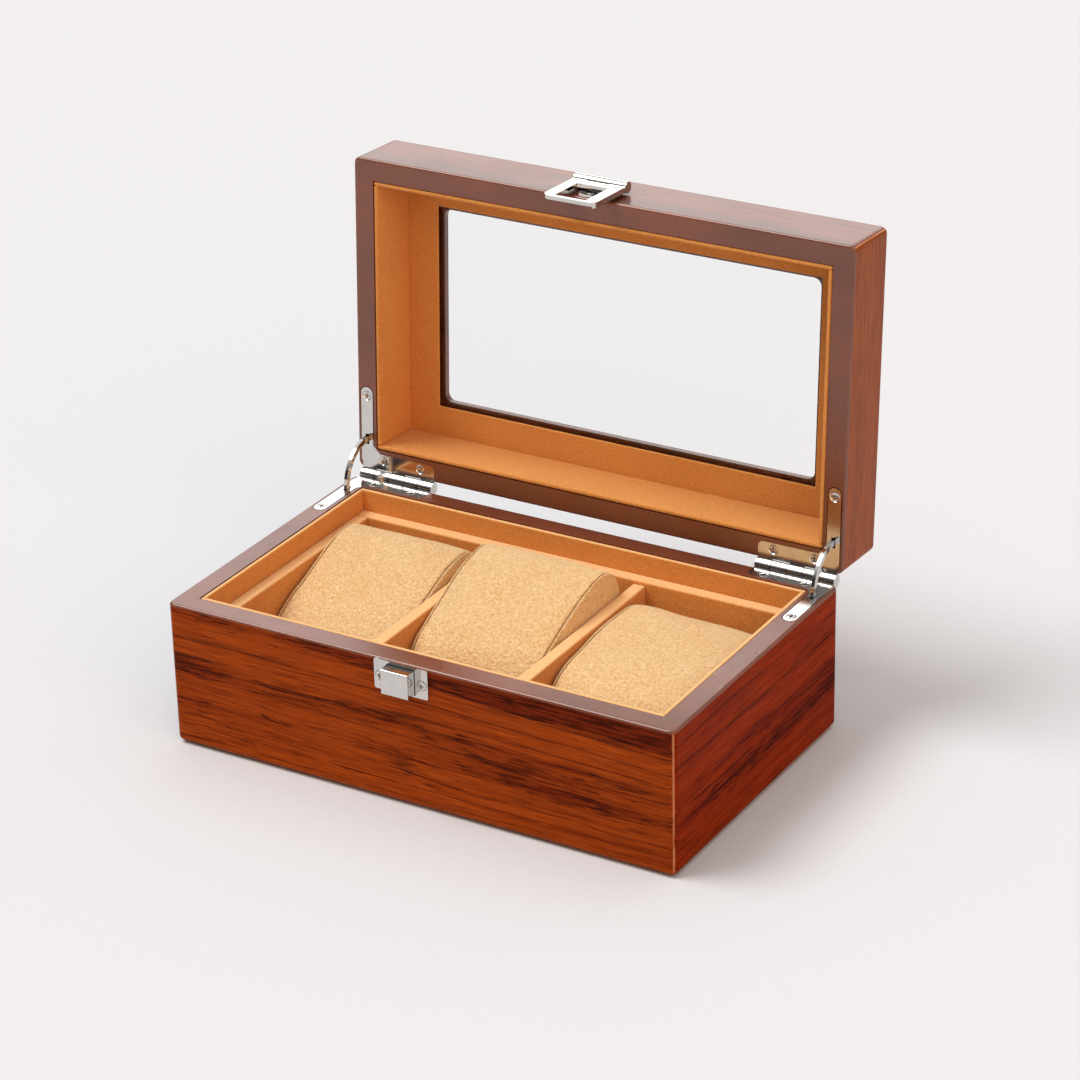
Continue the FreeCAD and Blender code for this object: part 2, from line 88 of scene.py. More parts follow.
def new_material(name):
    """An empty material with its output, and its node tree."""
    made = bpy.data.materials.new(name)
    made.use_nodes = True
    made.node_tree.nodes.clear()
    return made, made.node_tree


def finish_material(tree, shader, normal=None):
    """Joins the shader, and the bump if there is one, to the material's output."""
    if normal is not None:
        tree.links.new(normal, shader.inputs["Normal"])
    output = add(tree, "ShaderNodeOutputMaterial")
    tree.links.new(shader.outputs["BSDF"], output.inputs["Surface"])


def ramp(tree, factor, stops):
    """A colour ramp through (place, colour) stops."""
    made = add(tree, "ShaderNodeValToRGB", [("Fac", factor)])
    band = made.color_ramp
    for index, (place, colour) in enumerate(stops):
        stop = band.elements[index] if index < 2 else band.elements.new(place)
        stop.position = place
        stop.color = (*colour, 1.0)
    return made.outputs["Color"]


def fade(tree, value, low, high):
    """0 below low, 1 above high, straight between."""
    made = add(
        tree, "ShaderNodeMapRange", [("Value", value), ("From Min", low), ("From Max", high)]
    )
    return made.outputs["Result"]


def between(tree, value, low, high):
    """A value from 0 to 1 moved to lie between low and high."""
    made = add(tree, "ShaderNodeMapRange", [("Value", value), ("To Min", low), ("To Max", high)])
    return made.outputs["Result"]


def mixed(tree, factor, first, second, blend="MIX"):
    """Two colours mixed; each input is a plain value or an output to link."""
    made = add(tree, "ShaderNodeMix", data_type="RGBA", blend_type=blend)
    for socket, value in ((0, factor), (6, first), (7, second)):
        if isinstance(value, bpy.types.NodeSocket):
            tree.links.new(value, made.inputs[socket])
        elif socket == 0:
            made.inputs[0].default_value = value
        else:
            made.inputs[socket].default_value = (*value, 1.0)
    return made.outputs[2]


def maths(tree, operation, first, second=0.0):
    """One step of arithmetic; works in a material and in a geometry tree."""
    made = add(tree, "ShaderNodeMath", [(0, first), (1, second)], operation=operation)
    return made.outputs[0]


def noise_of(tree, vector, scale, detail=2.0, rough=0.5, distort=0.0):
    """A smooth irregular pattern from 0 to 1, with 'scale' patches to the metre."""
    made = add(
        tree,
        "ShaderNodeTexNoise",
        [("Vector", vector), ("Scale", scale), ("Detail", detail), ("Roughness", rough)],
    )
    made.inputs["Distortion"].default_value = distort
    return made.outputs["Fac"]


def stretched(tree, vector, scale, shift=(0.0, 0.0, 0.0)):
    """A vector scaled on each axis, so that a noise reads long one way and fine the other."""
    made = add(
        tree, "ShaderNodeMapping", [("Vector", vector), ("Scale", scale), ("Location", shift)]
    )
    return made.outputs["Vector"]


def bump_of(tree, height, strength, distance):
    """The surface's small relief, 'distance' deep."""
    made = add(
        tree, "ShaderNodeBump", [("Height", height), ("Strength", strength), ("Distance", distance)]
    )
    return made.outputs["Normal"]


def box_coordinates(tree, on_lid):
    """Object coordinates; on the lid they are turned to where it lies when it is shut."""
    place = add(tree, "ShaderNodeTexCoord").outputs["Object"]
    if not on_lid:
        return place
    turn = shut_lid.to_euler()
    made = add(
        tree,
        "ShaderNodeMapping",
        [("Vector", place), ("Location", shut_lid.to_translation()), ("Rotation", turn)],
    )
    return made.outputs["Vector"]


VENEER_LIGHT = (0.375, 0.062, 0.0050)
VENEER_MID = (0.275, 0.040, 0.0030)
VENEER_DARK = (0.165, 0.018, 0.0014)
VENEER_LINE = (0.022, 0.002, 0.0006)
# Painted highlight: the pale colour of the fine line along the box's rounded corners.
EDGE_HIGHLIGHT_PAINT = (0.60, 0.24, 0.12)
GRAIN_DRIFT = 7 * MM
EDGE_FROM = 1.15 * MM
EDGE_TO = 0.75 * MM


def veneer(name, along_y, on_lid, lacquer_ior, shade, plain=0.0, plain_colour=VENEER_MID):
    """Rosewood veneer with its grain along X, or along Y on the side boards.

    'plain' mixes the figure with one colour, and 'shade' multiplies the result: an even
    tint on most boards, and painted shade on the base's side boards."""
    material, tree = new_material(name)
    place = box_coordinates(tree, on_lid)
    if along_y:
        quarter = (0.0, 0.0, math.pi / 2)
        turned = add(tree, "ShaderNodeMapping", [("Vector", place), ("Rotation", quarter)])
        turned.inputs["Location"].default_value = (0.31, 0.0, 0.017)
        grain_place = turned.outputs["Vector"]
    else:
        grain_place = place
    # The figure wanders: the grain is pushed up and down by a slow noise.
    drift = noise_of(tree, stretched(tree, grain_place, (9.0, 6.0, 14.0)), 1.0, 2.0, 0.5)
    push = maths(tree, "MULTIPLY", maths(tree, "SUBTRACT", drift, 0.5), GRAIN_DRIFT)
    shift = add(tree, "ShaderNodeCombineXYZ", [("Y", push), ("Z", push)])
    wavy = add(
        tree, "ShaderNodeVectorMath", [(0, grain_place), (1, shift.outputs[0])], operation="ADD"
    ).outputs[0]
    # Broad bands, then narrower streaks, then short dark dashes that crowd in the dark bands.
    bands = noise_of(tree, stretched(tree, wavy, (3.4, 62.0, 72.0), (0.0, 0.0, 0.4)), 1.0, 2.0, 0.5)
    streaks = noise_of(tree, stretched(tree, wavy, (13.0, 280.0, 380.0)), 1.0, 3.0, 0.6)
    dashes = noise_of(tree, stretched(tree, wavy, (75.0, 950.0, 1100.0)), 1.0, 3.0, 0.6)
    fibres = noise_of(tree, stretched(tree, wavy, (70.0, 1500.0, 1900.0)), 1.0, 2.0, 0.6)
    broad = maths(tree, "MULTIPLY", bands, 0.72)
    narrow = maths(tree, "MULTIPLY", streaks, 0.28)
    tone = maths(tree, "ADD", broad, narrow)
    wood = ramp(
        tree,
        tone,
        [(0.40, VENEER_DARK), (0.47, VENEER_MID), (0.55, VENEER_LIGHT), (0.68, VENEER_MID)],
    )
    dark_bands = fade(tree, bands, 0.58, 0.42)
    crowd = maths(tree, "MULTIPLY", dark_bands, 0.16)
    lines = maths(tree, "ADD", dashes, crowd)
    line_mask = maths(tree, "MULTIPLY", fade(tree, lines, 0.63, 0.74), 0.75)
    wood = mixed(tree, line_mask, wood, VENEER_LINE)
    # Long thin veins follow the same waves.
    contour = noise_of(tree, stretched(tree, wavy, (2.2, 95.0, 120.0), (0.0, 0.7, 0.0)), 1.0, 1.0)
    off_vein = maths(tree, "ABSOLUTE", maths(tree, "SUBTRACT", contour, 0.52))
    broken = fade(tree, dashes, 0.36, 0.5)
    vein = maths(tree, "MULTIPLY", fade(tree, off_vein, 0.020, 0.004), broken)
    wood = mixed(tree, maths(tree, "MULTIPLY", vein, 0.6), wood, VENEER_LINE)
    thin = maths(tree, "MULTIPLY", fade(tree, streaks, 0.60, 0.68), 0.5)
    wood = mixed(tree, thin, wood, VENEER_DARK)
    wood = mixed(tree, plain, wood, plain_colour)
    fibre_tone = ramp(tree, fibres, [(0.30, (0.66, 0.60, 0.55)), (0.70, (1.24, 1.28, 1.3))])
    wood = mixed(tree, 1.0, wood, fibre_tone, "MULTIPLY")
    # The multiplying colour: a tint, and on the base's side boards painted shade, darker and
    # redder.
    wood = mixed(tree, 1.0, wood, shade, "MULTIPLY")
    # Painted highlight: a fine pale line is painted along the rounded corners, broken here and
    # there by a noise.
    parts = add(tree, "ShaderNodeSeparateXYZ", [("Vector", place)]).outputs
    out_x = maths(tree, "ABSOLUTE", parts["X"])
    out_y = maths(tree, "ABSOLUTE", parts["Y"])
    near_x = fade(tree, out_x, half_wide - EDGE_FROM, half_wide - EDGE_TO)
    near_y = fade(tree, out_y, half_deep - EDGE_FROM, half_deep - EDGE_TO)
    painted_corner_highlight = maths(tree, "MULTIPLY", near_x, near_y)
    highlight_breaks = noise_of(tree, stretched(tree, place, (300.0, 300.0, 160.0)), 1.0, 2.0)
    painted_corner_highlight = maths(tree, "MULTIPLY", painted_corner_highlight, fade(tree, highlight_breaks, 0.25, 0.55))
    wood = mixed(tree, painted_corner_highlight, wood, EDGE_HIGHLIGHT_PAINT)
    shader = add(tree, "ShaderNodeBsdfPrincipled", [("Base Color", wood)])
    shader.inputs["IOR"].default_value = lacquer_ior
    wave = noise_of(tree, stretched(tree, place, (30.0, 30.0, 30.0)), 1.0, 2.0)
    rough = between(tree, wave, 0.16, 0.26)
    tree.links.new(rough, shader.inputs["Roughness"])
    finish_material(tree, shader, bump_of(tree, fibres, 0.06, 0.05 * MM))
    return material


def rim_lacquer(name, on_lid):
    """Plain reddish-brown paint under glossy lacquer, with a faint brushed unevenness."""
    material, tree = new_material(name)
    place = box_coordinates(tree, on_lid)
    cloud = noise_of(tree, stretched(tree, place, (28.0, 60.0, 60.0)), 1.0, 3.0)
    paint = ramp(tree, cloud, [(0.3, (0.135, 0.034, 0.011)), (0.7, (0.20, 0.050, 0.015))])
    shader = add(tree, "ShaderNodeBsdfPrincipled", [("Base Color", paint)])
    shader.inputs["IOR"].default_value = 1.7
    ripple = noise_of(tree, stretched(tree, place, (140.0, 140.0, 140.0)), 1.0, 2.0)
    rough = between(tree, ripple, 0.24, 0.34)
    tree.links.new(rough, shader.inputs["Roughness"])
    finish_material(tree, shader)
    return material


MERGE_WITHIN = 0.002 * MM


def merged_copy(node, name):
    """A piece with a CAD node's own shape, its loose triangles joined."""
    mesh = frame["nodes"][node].data.copy()
    mesh.name = name
    form = bmesh.new()
    form.from_mesh(mesh)
    bmesh.ops.remove_doubles(form, verts=form.verts, dist=MERGE_WITHIN)
    form.to_mesh(mesh)
    form.free()
    mesh.materials.clear()
    piece = bpy.data.objects.new(name, mesh)
    bpy.context.scene.collection.objects.link(piece)
    return piece


SQUARE_ON = 0.9995


def flat_where_square(mesh, to_box):
    """Smooth shading on the rounded edges only; faces square to the box stay flat."""
    turn = to_box.to_3x3()
    for face in mesh.polygons:
        facing = turn @ face.normal
        face.use_smooth = max(abs(part) for part in facing) < SQUARE_ON


base_veneer = veneer("veneer_base_long", False, False, 1.12, (0.93, 0.92, 0.85))
# Painted shade: the side boards are the same veneer as the long ones, made darker and redder.
side_veneer = veneer("veneer_base_side", True, False, 1.06, (0.70, 0.42, 0.40))
PLAIN_UMBER = (0.17, 0.052, 0.020)
lid_veneer = veneer(
    "veneer_lid_long", False, True, 1.6, (0.9, 0.92, 0.95), plain=0.55, plain_colour=PLAIN_UMBER
)
PLAIN_SIENNA = (0.29, 0.072, 0.010)
lid_side_veneer = veneer(
    "veneer_lid_side", True, True, 1.15, (1.0, 1.0, 1.0), plain=0.78, plain_colour=PLAIN_SIENNA
)
lid_top_veneer = veneer("veneer_lid_top", False, True, 1.25, (1.0, 1.0, 1.0))
base_rim = rim_lacquer("rim_lacquer_base", False)
lid_rim = rim_lacquer("rim_lacquer_lid", True)
lid_low = min((shut_lid @ v.co).z for v in frame["nodes"]["lid_front_rail"].data.vertices)


PAINT_EDGE = 0.95 * MM
WINDOW_IN = 15 * MM


def wooden_board(node, body, wood, rim):
    """A board with veneer all over but for its rim and the window's edge, which are painted."""
    board = merged_copy(node, node.replace("_wall", "_board").replace("_rail", "_board"))
    board.data.materials.append(wood)
    board.data.materials.append(rim)
    for face in board.data.polygons:
        if body == "lid":
            spots = [shut_lid @ board.data.vertices[i].co for i in face.vertices]
            inside_x = max(abs(spot.x) for spot in spots) < half_wide - WINDOW_IN
            inside_y = max(abs(spot.y) for spot in spots) < half_deep - WINDOW_IN
            on_rim = max(spot.z for spot in spots) < lid_low + PAINT_EDGE
            face.material_index = int(on_rim or (inside_x and inside_y))
        else:
            heights = [board.data.vertices[i].co.z for i in face.vertices]
            face.material_index = int(min(heights) > base_high - PAINT_EDGE)
    flat_where_square(board.data, shut_lid if body == "lid" else Matrix())
    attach(board, body)
    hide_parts(node)


for place_name, wood, lid_wood in (
    ("front", base_veneer, lid_veneer),
    ("back", base_veneer, lid_veneer),
    ("left", side_veneer, lid_side_veneer),
    ("right", side_veneer, lid_side_veneer),
):
    wooden_board(f"base_{place_name}_wall", "base", wood, base_rim)
    wooden_board(f"lid_{place_name}_rail", "lid", lid_wood, lid_rim)
wooden_board("lid_top_frame", "lid", lid_top_veneer, lid_rim)

# ---- Bottom board and felt ------------------------------------------------------------------
# A fibreboard panel glued between the walls, and a thin sheet of dark pressed felt glued
# over the whole underside so that the box doesn't scratch a table.


def coat(node, finish):
    """Gives a CAD piece one finish all over."""
    frame["nodes"][node].data.materials.clear()
    frame["nodes"][node].data.materials.append(finish)


material, tree = new_material("bottom_fibreboard")
place = add(tree, "ShaderNodeTexCoord").outputs["Object"]
flecks = noise_of(tree, place, 900.0, 4.0, 0.7)
board_colour = ramp(tree, flecks, [(0.3, (0.22, 0.13, 0.07)), (0.7, (0.42, 0.28, 0.17))])
shader = add(tree, "ShaderNodeBsdfPrincipled", [("Base Color", board_colour), ("Roughness", 0.8)])
finish_material(tree, shader, bump_of(tree, flecks, 0.3, 0.2 * MM))
coat("bottom_board", material)

material, tree = new_material("dark_felt")
place = add(tree, "ShaderNodeTexCoord").outputs["Object"]
fuzz = noise_of(tree, place, 1600.0, 5.0, 0.75)
clumps = noise_of(tree, place, 160.0, 3.0)
felt_colour = ramp(tree, fuzz, [(0.3, (0.020, 0.012, 0.008)), (0.7, (0.060, 0.040, 0.028))])
felt_colour = mixed(tree, fade(tree, clumps, 0.45, 0.75), felt_colour, (0.05, 0.034, 0.025))
shader = add(tree, "ShaderNodeBsdfPrincipled", [("Base Color", felt_colour), ("Roughness", 1.0)])
shader.inputs["Specular IOR Level"].default_value = 0.1
shader.inputs["Sheen Weight"].default_value = 0.4
shader.inputs["Sheen Roughness"].default_value = 0.5
finish_material(tree, shader, bump_of(tree, fuzz, 0.6, 0.3 * MM))
coat("underside_felt", material)

# ---- Lining boards, insert rails and partitions ---------------------------------------------
# Thin boards wrapped in short tan velvet, pressed in between the walls. The cloth is folded
# over the top edges, so they are soft and catch the light; their upward faces are also
# painted paler, as painted light.


# Painted shade: the dark brown laid into the cushions' seams.
SEAM_SHADE_BROWN = (0.22, 0.060, 0.014)
# Painted light: the pale cream of the velvet's upward faces.
TOP_LIGHT_CREAM = (0.93, 0.60, 0.29)


def velvet(name, dark, light, nap_scale, nap_depth, mottle, on_lid=False, painted_top_light=0.0):
    """Short-pile cloth: the nap lies this way and that, so its tone is mottled.

    Where the mesh has a 'seam' value the cloth is pulled in and gets painted shade, dark
    brown; where it faces up it gets painted light, mixed towards pale cream by the given share."""
    material, tree = new_material(name)
    place = box_coordinates(tree, on_lid)
    pile = noise_of(tree, place, nap_scale * 2.2, 2.0, 0.6)
    lay = noise_of(tree, place, nap_scale, 2.0, 0.5, 0.3)
    brushed = noise_of(tree, place, 38.0, 3.0, 0.5)
    lay_tone = maths(tree, "MULTIPLY", lay, mottle)
    pile_tone = maths(tree, "MULTIPLY", pile, 0.45)
    brushed_tone = maths(tree, "MULTIPLY", brushed, 0.15)
    tone = maths(tree, "ADD", maths(tree, "ADD", lay_tone, pile_tone), brushed_tone)
    # Each noise is 0.5 on average, which puts the middle of their sum here.
    middle = 0.5 * (mottle + 0.45 + 0.15)
    cloth = ramp(tree, tone, [(middle - 0.15, dark), (middle + 0.15, light)])
    # Painted shade: along the seam the cloth is darkened towards brown.
    seam = add(tree, "ShaderNodeAttribute", attribute_name="seam").outputs["Fac"]
    painted_seam_shade = maths(tree, "MULTIPLY", fade(tree, seam, 0.1, 0.7), 0.8)
    cloth = mixed(tree, painted_seam_shade, cloth, SEAM_SHADE_BROWN)
    # Painted light: the faces that look up are mixed towards pale cream, as if lit from above.
    facing = add(tree, "ShaderNodeTexCoord").outputs["Normal"]
    upward = add(tree, "ShaderNodeSeparateXYZ", [("Vector", facing)]).outputs["Z"]
    top_light_share = maths(tree, "MULTIPLY", fade(tree, upward, 0.35, 0.95), painted_top_light)
    cloth = mixed(tree, top_light_share, cloth, TOP_LIGHT_CREAM)
    shader = add(tree, "ShaderNodeBsdfPrincipled", [("Base Color", cloth), ("Roughness", 0.95)])
    shader.inputs["Specular IOR Level"].default_value = 0.1
    shader.inputs["Sheen Weight"].default_value = 0.6
    shader.inputs["Sheen Roughness"].default_value = 0.35
    shader.inputs["Sheen Tint"].default_value = (1.0, 0.84, 0.60, 1.0)
    lay_height = maths(tree, "MULTIPLY", lay, 0.8)
    height = maths(tree, "ADD", lay_height, maths(tree, "MULTIPLY", pile, 0.4))
    finish_material(tree, shader, bump_of(tree, height, 0.9, nap_depth))
    return material


LINING_DARK = (0.58, 0.222, 0.048)
LINING_LIGHT = (0.79, 0.345, 0.098)
LINING_NAP = (1250.0, 0.4 * MM, 0.4)
lining = velvet("lining_velvet", LINING_DARK, LINING_LIGHT, *LINING_NAP, painted_top_light=0.75)
lid_lining = velvet("lid_lining_velvet", LINING_DARK, LINING_LIGHT, *LINING_NAP, on_lid=True)


def wrapped_board(node, body, cloth, edge, steps=4):
    """The CAD board with its edges rounded over by the cloth that wraps it."""
    board = merged_copy(node, node + "_velvet")
    form = bmesh.new()
    form.from_mesh(board.data)
    bmesh.ops.dissolve_limit(
        form, angle_limit=math.radians(1), verts=form.verts, edges=form.edges
    )
    turning = [e for e in form.edges if len(e.link_faces) == 2 and e.calc_face_angle(0) > 0.5]
    bmesh.ops.bevel(
        form, geom=turning, offset=edge, segments=steps, profile=0.5, affect="EDGES"
    )
    flat = {face for face in form.faces if face.calc_area() > 20 * MM * MM}
    for face in form.faces:
        face.smooth = face not in flat
    form.to_mesh(board.data)
    form.free()
    board.data.materials.append(cloth)
    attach(board, body)
    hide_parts(node)
    return board


for node in frame["nodes"]:
    if node == "floor_liner" or node.startswith("liner_"):
        wrapped_board(node, "base", lining, 0.55 * MM)
    elif node.startswith(("rail_", "divider_")):
        wrapped_board(node, "base", lining, 0.8 * MM)
    elif node.startswith("lid_liner_"):
        wrapped_board(node, "lid", lid_lining, 0.6 * MM)
    elif node == "lid_inner_frame":
        wrapped_board(node, "lid", lid_lining, 0.45 * MM)

# ---- Window pane ----------------------------------------------------------------------------
# Clear float glass, cut to the window and dropped into the rebate under the top panel. The
# velvet frame behind it holds it in.

material, tree = new_material("clear_glass")
place = add(tree, "ShaderNodeTexCoord").outputs["Object"]
smear = noise_of(tree, place, 25.0, 3.0)
shader = add(tree, "ShaderNodeBsdfPrincipled", [("Base Color", (0.97, 0.985, 0.98, 1.0))])
shader.inputs["Transmission Weight"].default_value = 1.0
shader.inputs["IOR"].default_value = 1.12
rough = between(tree, smear, 0.0, 0.02)
tree.links.new(rough, shader.inputs["Roughness"])
finish_material(tree, shader)
coat("window_glass", material)

# ---- Hinges, stays, catch and hasp ----------------------------------------------------------
# Pressed steel, polished and nickel plated. The plates are let into the rims; the stay arms
# slide through slots in them; the push button and the hasp loop meet on the front.


def nickel(name, low, high, tint):
    """Plated steel, its polish between two roughnesses, with fine hairlines."""
    material, tree = new_material(name)
    place = add(tree, "ShaderNodeTexCoord").outputs["Object"]
    cloud = noise_of(tree, place, 260.0, 3.0)
    hair = noise_of(tree, stretched(tree, place, (300.0, 4000.0, 4000.0)), 1.0, 2.0)
    metal = ramp(tree, cloud, [(0.3, tuple(0.92 * c for c in tint)), (0.7, tint)])
    shader = add(tree, "ShaderNodeBsdfPrincipled", [("Base Color", metal), ("Metallic", 1.0)])
    rough = between(tree, cloud, low, high)
    tree.links.new(rough, shader.inputs["Roughness"])
    finish_material(tree, shader, bump_of(tree, hair, 0.05, 0.02 * MM))
    return material


bright_nickel = nickel("bright_nickel", 0.07, 0.16, (0.66, 0.64, 0.61))
HARDWARE = [
    "hinge_base_plate_left",
    "hinge_base_plate_right",
    "hinge_lid_plate_left",
    "hinge_lid_plate_right",
    "hinge_pins",
    "stay_arm_left",
    "stay_arm_right",
    "catch_plate",
    "catch_button",
    "hasp_plate",
    "hasp_pin",
    "hasp_loop",
]
for node in HARDWARE:
    coat(node, bright_nickel)

# ---- Catch spring ---------------------------------------------------------------------------
# A coil of drawn steel wire in the bore of the push button. One end stands in the button and
# the other on the wood behind it, so it shortens when the button is pressed.

drawn_wire = nickel("drawn_wire", 0.25, 0.38, (0.50, 0.50, 0.52))
coil = merged_copy("catch_spring", "catch_spring_coil")
for face in coil.data.polygons:
    face.use_smooth = True
coil.data.materials.append(drawn_wire)
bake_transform(coil)
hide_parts("catch_spring")

# ---- Screws ---------------------------------------------------------------------------------
# Small countersunk screws with a cross recess, nickel plated like the plates that they hold.


HEAD_RADIUS = 1.72 * MM
DOME = 0.10
RECESS_DEEP = 1.4 * MM


def islands(mesh):
    """Groups of vertex places that hang together."""
    form = bmesh.new()
    form.from_mesh(mesh)
    bmesh.ops.remove_doubles(form, verts=form.verts, dist=MERGE_WITHIN)
    left = set(form.verts)
    groups = []
    while left:
        front = [left.pop()]
        group = []
        while front:
            vert = front.pop()
            group.append(vert.co.copy())
            for edge in vert.link_edges:
                other = edge.other_vert(vert)
                if other in left:
                    left.remove(other)
                    front.append(other)
        groups.append(group)
    form.free()
    return groups


def head_of(group, facing):
    """Centre of a screw's head, so low that its dome ends at the CAD head's highest point."""
    top = max(spot.dot(facing) for spot in group)
    low = Vector([min(s[i] for s in group) for i in range(3)])
    high = Vector([max(s[i] for s in group) for i in range(3)])
    middle = (low + high) / 2
    return middle + facing * (top - DOME * HEAD_RADIUS - middle.dot(facing))


def screw_tree():
    """Puts a screw on every point, pointing along the point's 'facing' attribute."""
    tree = bpy.data.node_groups.new("screw_rows", "GeometryNodeTree")
    sockets = {}
    for name, kind in (
        ("Geometry", "NodeSocketGeometry"),
        ("Head Radius", "NodeSocketFloat"),
        ("Shank Radius", "NodeSocketFloat"),
        ("Length", "NodeSocketFloat"),
        ("Recess Length", "NodeSocketFloat"),
        ("Recess Width", "NodeSocketFloat"),
        ("Material", "NodeSocketMaterial"),
    ):
        made = tree.interface.new_socket(name, in_out="INPUT", socket_type=kind)
        sockets[name] = made.identifier
    tree.interface.new_socket("Geometry", in_out="OUTPUT", socket_type="NodeSocketGeometry")
    given = add(tree, "NodeGroupInput").outputs
    head_deep = maths(tree, "SUBTRACT", given["Head Radius"], given["Shank Radius"])
    cone = add(
        tree,
        "GeometryNodeMeshCone",
        [
            ("Vertices", 40),
            ("Radius Top", given["Head Radius"]),
            ("Radius Bottom", given["Shank Radius"]),
            ("Depth", head_deep),
        ],
    )
    head_low = maths(tree, "MULTIPLY", head_deep, -1.0)
    lowered = add(tree, "ShaderNodeCombineXYZ", [("Z", head_low)])
    head = add(
        tree,
        "GeometryNodeTransform",
        [("Geometry", cone.outputs["Mesh"]), ("Translation", lowered.outputs[0])],
    )
    # A shallow dome closes the head.
    ball = add(
        tree,
        "GeometryNodeMeshUVSphere",
        [("Segments", 40), ("Rings", 24), ("Radius", given["Head Radius"])],
    )
    flat_ball = add(
        tree,
        "GeometryNodeTransform",
        [("Geometry", ball.outputs["Mesh"]), ("Scale", (0.985, 0.985, DOME))],
    )
    shank = add(
        tree,
        "GeometryNodeMeshCylinder",
        [("Vertices", 24), ("Radius", given["Shank Radius"]), ("Depth", given["Length"])],
    )
    half_down = maths(tree, "MULTIPLY", given["Length"], -0.5)
    down = add(tree, "ShaderNodeCombineXYZ", [("Z", half_down)])
    shank_low = add(
        tree,
        "GeometryNodeTransform",
        [("Geometry", shank.outputs["Mesh"]), ("Translation", down.outputs[0])],
    )
    body = add(tree, "GeometryNodeMeshBoolean", operation="UNION", solver="EXACT")
    for part in (head, flat_ball, shank_low):
        tree.links.new(part.outputs["Geometry"], body.inputs["Mesh 2"])
    arms = []
    for across, along in (("Recess Length", "Recess Width"), ("Recess Width", "Recess Length")):
        sides = [("X", given[across]), ("Y", given[along]), ("Z", RECESS_DEEP)]
        size = add(tree, "ShaderNodeCombineXYZ", sides)
        arms.append(add(tree, "GeometryNodeMeshCube", [("Size", size.outputs[0])]))
    cross = add(tree, "GeometryNodeMeshBoolean", operation="UNION", solver="EXACT")
    for arm in arms:
        tree.links.new(arm.outputs["Mesh"], cross.inputs["Mesh 2"])
    cut = add(
        tree,
        "GeometryNodeMeshBoolean",
        [("Mesh 1", body.outputs["Mesh"])],
        operation="DIFFERENCE",
        solver="EXACT",
    )
    tree.links.new(cross.outputs["Mesh"], cut.inputs["Mesh 2"])
    facing = add(
        tree, "GeometryNodeInputNamedAttribute", [("Name", "facing")], data_type="FLOAT_VECTOR"
    )
    turn = add(
        tree,
        "FunctionNodeAlignRotationToVector",
        [("Vector", facing.outputs["Attribute"])],
        axis="Z",
    )
    placed = add(
        tree,
        "GeometryNodeInstanceOnPoints",
        [
            ("Points", given["Geometry"]),
            ("Instance", cut.outputs["Mesh"]),
            ("Rotation", turn.outputs["Rotation"]),
        ],
    )
    real = add(tree, "GeometryNodeRealizeInstances", [("Geometry", placed.outputs["Instances"])])
    painted = add(
        tree,
        "GeometryNodeSetMaterial",
        [("Geometry", real.outputs["Geometry"]), ("Material", given["Material"])],
    )
    output = add(tree, "NodeGroupOutput")
    tree.links.new(painted.outputs["Geometry"], output.inputs[0])
    return tree, sockets


screw_maker, screw_sockets = screw_tree()


def screws(node, body, facing):
    """The screws of one CAD group, made again with domed heads and a cross recess."""
    spots = [head_of(group, facing) for group in islands(frame["nodes"][node].data)]
    mesh = bpy.data.meshes.new(node + "_points")
    mesh.from_pydata(spots, [], [])
    attribute = mesh.attributes.new("facing", "FLOAT_VECTOR", "POINT")
    for item in attribute.data:
        item.vector = facing
    holder = bpy.data.objects.new(node + "_points", mesh)
    bpy.context.scene.collection.objects.link(holder)
    modifier = holder.modifiers.new("screws", "NODES")
    modifier.node_group = screw_maker
    for name, value in (
        ("Head Radius", HEAD_RADIUS),
        ("Shank Radius", 0.88 * MM),
        ("Length", 5.9 * MM),
        ("Recess Length", 2.1 * MM),
        ("Recess Width", 0.6 * MM),
        ("Material", bright_nickel),
    ):
        modifier[screw_sockets[name]] = value
    ready = holder.evaluated_get(bpy.context.evaluated_depsgraph_get())
    solid = bpy.data.meshes.new_from_object(ready)
    bpy.data.objects.remove(holder)
    solid.name = node + "_turned"
    for face in solid.polygons:
        face.use_smooth = True
    solid.set_sharp_from_angle(angle=math.radians(35))
    piece = bpy.data.objects.new(node + "_turned", solid)
    bpy.context.scene.collection.objects.link(piece)
    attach(piece, body)
    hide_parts(node)


open_lid = shut_lid.inverted().to_3x3()
screws("hinge_base_screws", "base", Vector((0, 0, 1)))
screws("catch_screws", "base", Vector((0, -1, 0)))
screws("hinge_lid_screws", "lid", open_lid @ Vector((0, 0, -1)))
screws("hasp_screws", "lid", open_lid @ Vector((0, -1, 0)))

# ---- Cushions -------------------------------------------------------------------------------
# Soft pillows that a watch is strapped round: a wrap of thick tan velvet sewn to a flat oval
# panel at each end, and stuffed. They stand loose in their places and lift out.

CUSHION_DARK = (0.76, 0.44, 0.170)
CUSHION_LIGHT = (1.0, 0.74, 0.415)
cushion_cloth = velvet("cushion_velvet", CUSHION_DARK, CUSHION_LIGHT, 1000.0, 1.5 * MM, 0.6)
floor_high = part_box("floor_liner")[1][2]
ROUND = 96
SQUARENESS = 3.3
SIDE_PLAY = 0.4 * MM
SWELL_ROOM = 0.985
WEAVE = 3.6 * MM
SIM_CAP = 1.2 * MM
SEAM_IN = 1.0 * MM
LUMPS_PER_METRE = 70
LUMP = 0.8 * MM
PUCKER = 0.45 * MM
PUCKER_RINGS = 7


